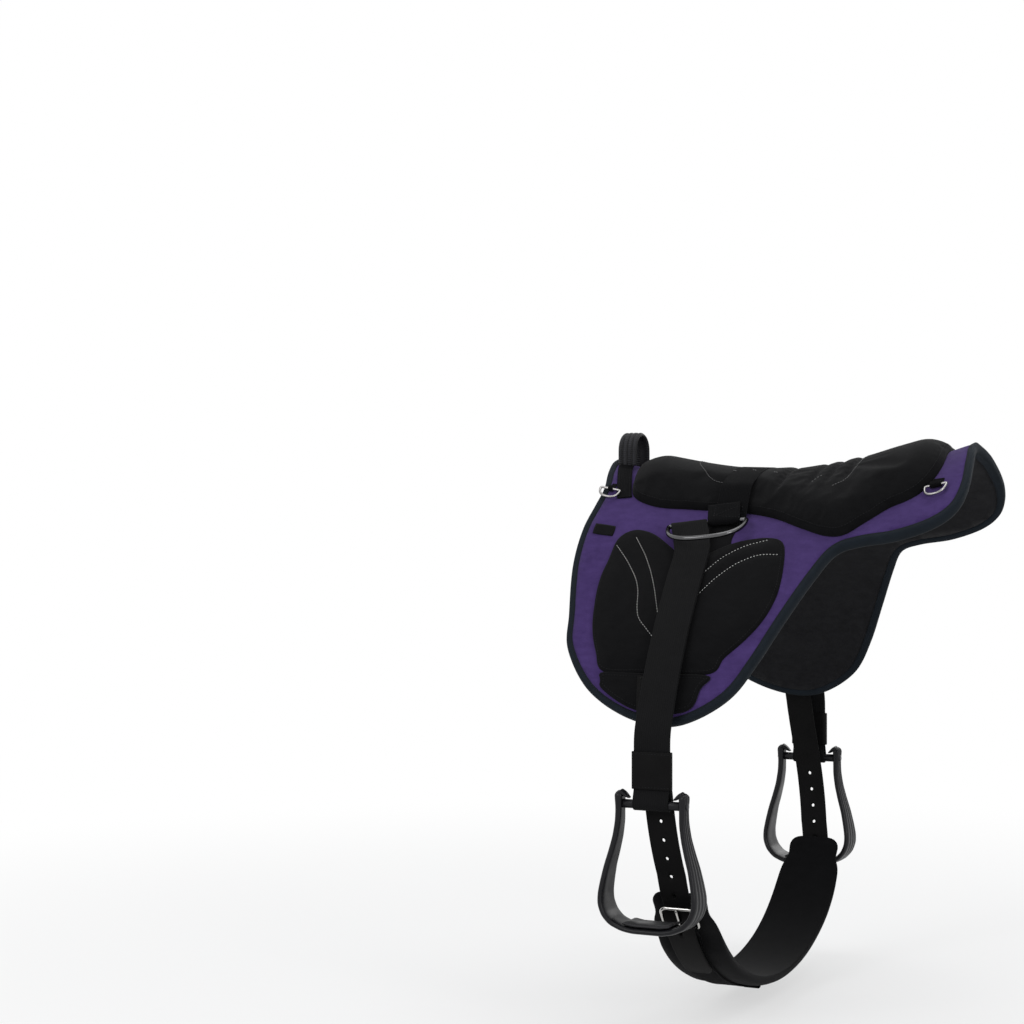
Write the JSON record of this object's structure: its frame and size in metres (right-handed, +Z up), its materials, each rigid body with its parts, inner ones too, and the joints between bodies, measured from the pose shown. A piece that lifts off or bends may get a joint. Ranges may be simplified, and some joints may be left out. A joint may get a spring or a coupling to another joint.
{
  "type": "bareback pad",
  "caption": "Soft riding pad with a padded seat, grab handle, stirrups on webbing straps and a buckled girth.",
  "frame": {"origin": "where the pad's under face meets the back, below the lowest point of the seat", "axes": "+X towards the tail, -X forward; -Y the left side, +Y the right side; +Z up"},
  "size_m": [0.5478, 0.691, 0.7935],
  "materials": {
    "purple_suede": "napped, matt",
    "black_fabric": "woven, matt",
    "black_felt": "felt, matt",
    "binding_tape": "woven tape, matt",
    "black_webbing": "ribbed webbing",
    "grey_foam": "open foam",
    "clear_gel": "soft gel",
    "black_leather": "smooth",
    "steel": "polished",
    "black_plastic": "moulded",
    "black_rubber": "moulded"
  },
  "bodies": {
    "pad": {"contact_pad": "black_felt", "foam_core": "grey_foam", "gel_insert": "clear_gel", "cover": "purple_suede", "edge_binding": "binding_tape", "seat_cushion": "black_fabric", "rigging_webbing": "black_webbing", "handle_strap": "black_webbing", "handle_grip": "black_rubber", "leg_panel_left": "black_fabric", "lower_patch_left": "black_fabric", "blank_label_left": "black_webbing", "front_tab_left": "black_webbing", "rear_tab_left": "black_webbing", "leg_panel_right": "black_fabric", "lower_patch_right": "black_fabric", "blank_label_right": "black_webbing", "front_tab_right": "black_webbing", "rear_tab_right": "black_webbing"},
    "girth": {"girth_pad": "black_fabric", "girth_webbing": "black_webbing", "girth_loop": "black_webbing", "billet_left": "black_leather", "buckle_frame_left": "steel", "billet_right": "black_leather", "buckle_frame_right": "steel"},
    "strap_left": {"stirrup_strap_left": "black_webbing", "bar_sleeve_left": "black_plastic"},
    "ring_left": {"rigging_ring_left": "steel"},
    "keeper_left": {"keeper_left": "black_leather"},
    "stirrup_left": {"stirrup_left": "black_plastic", "stirrup_bolt_left": "steel", "tread_pad_left": "black_rubber"},
    "front_dee_left": {"front_dee_left": "steel"},
    "rear_dee_left": {"rear_dee_left": "steel"},
    "tongue_left": {"buckle_tongue_left": "steel"},
    "strap_right": {"stirrup_strap_right": "black_webbing", "bar_sleeve_right": "black_plastic"},
    "ring_right": {"rigging_ring_right": "steel"},
    "keeper_right": {"keeper_right": "black_leather"},
    "stirrup_right": {"stirrup_right": "black_plastic", "stirrup_bolt_right": "steel", "tread_pad_right": "black_rubber"},
    "front_dee_right": {"front_dee_right": "steel"},
    "rear_dee_right": {"rear_dee_right": "steel"},
    "tongue_right": {"buckle_tongue_right": "steel"}
  },
  "joints": [
    {"name": "strap_swing_left", "type": "hinge", "parent": "pad", "child": "strap_left", "pos_m": [-0.04, -0.13416, -0.03518], "axis": [-0.9804, -0.1696, -0.1006], "range_deg": [0, 45]},
    {"name": "ring_lift_left", "type": "hinge", "parent": "strap_left", "child": "ring_left", "pos_m": [-0.04, -0.13416, -0.03518], "axis": [-0.9804, -0.1696, -0.1006], "range_deg": [0, 80]},
    {"name": "keeper_slide_left", "type": "slide", "parent": "strap_left", "child": "keeper_left", "axis": [0, 0, 1], "range_m": [0, 0.015]},
    {"name": "stirrup_swing_left", "type": "hinge", "parent": "strap_left", "child": "stirrup_left", "pos_m": [-0.0455, -0.3205, -0.401], "axis": [-1, 0, 0], "range_deg": [0, 80]},
    {"name": "front_dee_turn_left", "type": "hinge", "parent": "pad", "child": "front_dee_left", "pos_m": [-0.2035, -0.0915, 0.01337], "axis": [-0.9813, 0, 0.1923], "range_deg": [0, 100]},
    {"name": "rear_dee_turn_left", "type": "hinge", "parent": "pad", "child": "rear_dee_left", "pos_m": [0.271, -0.10222, 0.01628], "axis": [-0.9799, 0, -0.1996], "range_deg": [0, 100]},
    {"name": "tongue_lift_left", "type": "hinge", "parent": "girth", "child": "tongue_left", "pos_m": [-0.024, -0.26888, -0.56567], "axis": [1, 0, 0], "range_deg": [0, 20]},
    {"name": "strap_swing_right", "type": "hinge", "parent": "pad", "child": "strap_right", "pos_m": [-0.04, 0.13416, -0.03518], "axis": [0.9804, -0.1696, 0.1006], "range_deg": [0, 45]},
    {"name": "ring_lift_right", "type": "hinge", "parent": "strap_right", "child": "ring_right", "pos_m": [-0.04, 0.13416, -0.03518], "axis": [0.9804, -0.1696, 0.1006], "range_deg": [0, 80]},
    {"name": "keeper_slide_right", "type": "slide", "parent": "strap_right", "child": "keeper_right", "axis": [0, 0, 1], "range_m": [0, 0.015]},
    {"name": "stirrup_swing_right", "type": "hinge", "parent": "strap_right", "child": "stirrup_right", "pos_m": [-0.0455, 0.3205, -0.401], "axis": [1, 0, 0], "range_deg": [0, 80]},
    {"name": "front_dee_turn_right", "type": "hinge", "parent": "pad", "child": "front_dee_right", "pos_m": [-0.2035, 0.0915, 0.01337], "axis": [0.9813, 0, -0.1923], "range_deg": [0, 100]},
    {"name": "rear_dee_turn_right", "type": "hinge", "parent": "pad", "child": "rear_dee_right", "pos_m": [0.271, 0.10222, 0.01628], "axis": [0.9799, 0, 0.1996], "range_deg": [0, 100]},
    {"name": "tongue_lift_right", "type": "hinge", "parent": "girth", "child": "tongue_right", "pos_m": [-0.024, 0.26888, -0.56567], "axis": [-1, 0, 0], "range_deg": [0, 20]},
    {"name": "girth_swing", "type": "hinge", "parent": "pad", "child": "girth", "pos_m": [-0.06404, 0, -0.24544], "axis": [0, 1, 0], "range_deg": [-3, 3]}
  ]
}
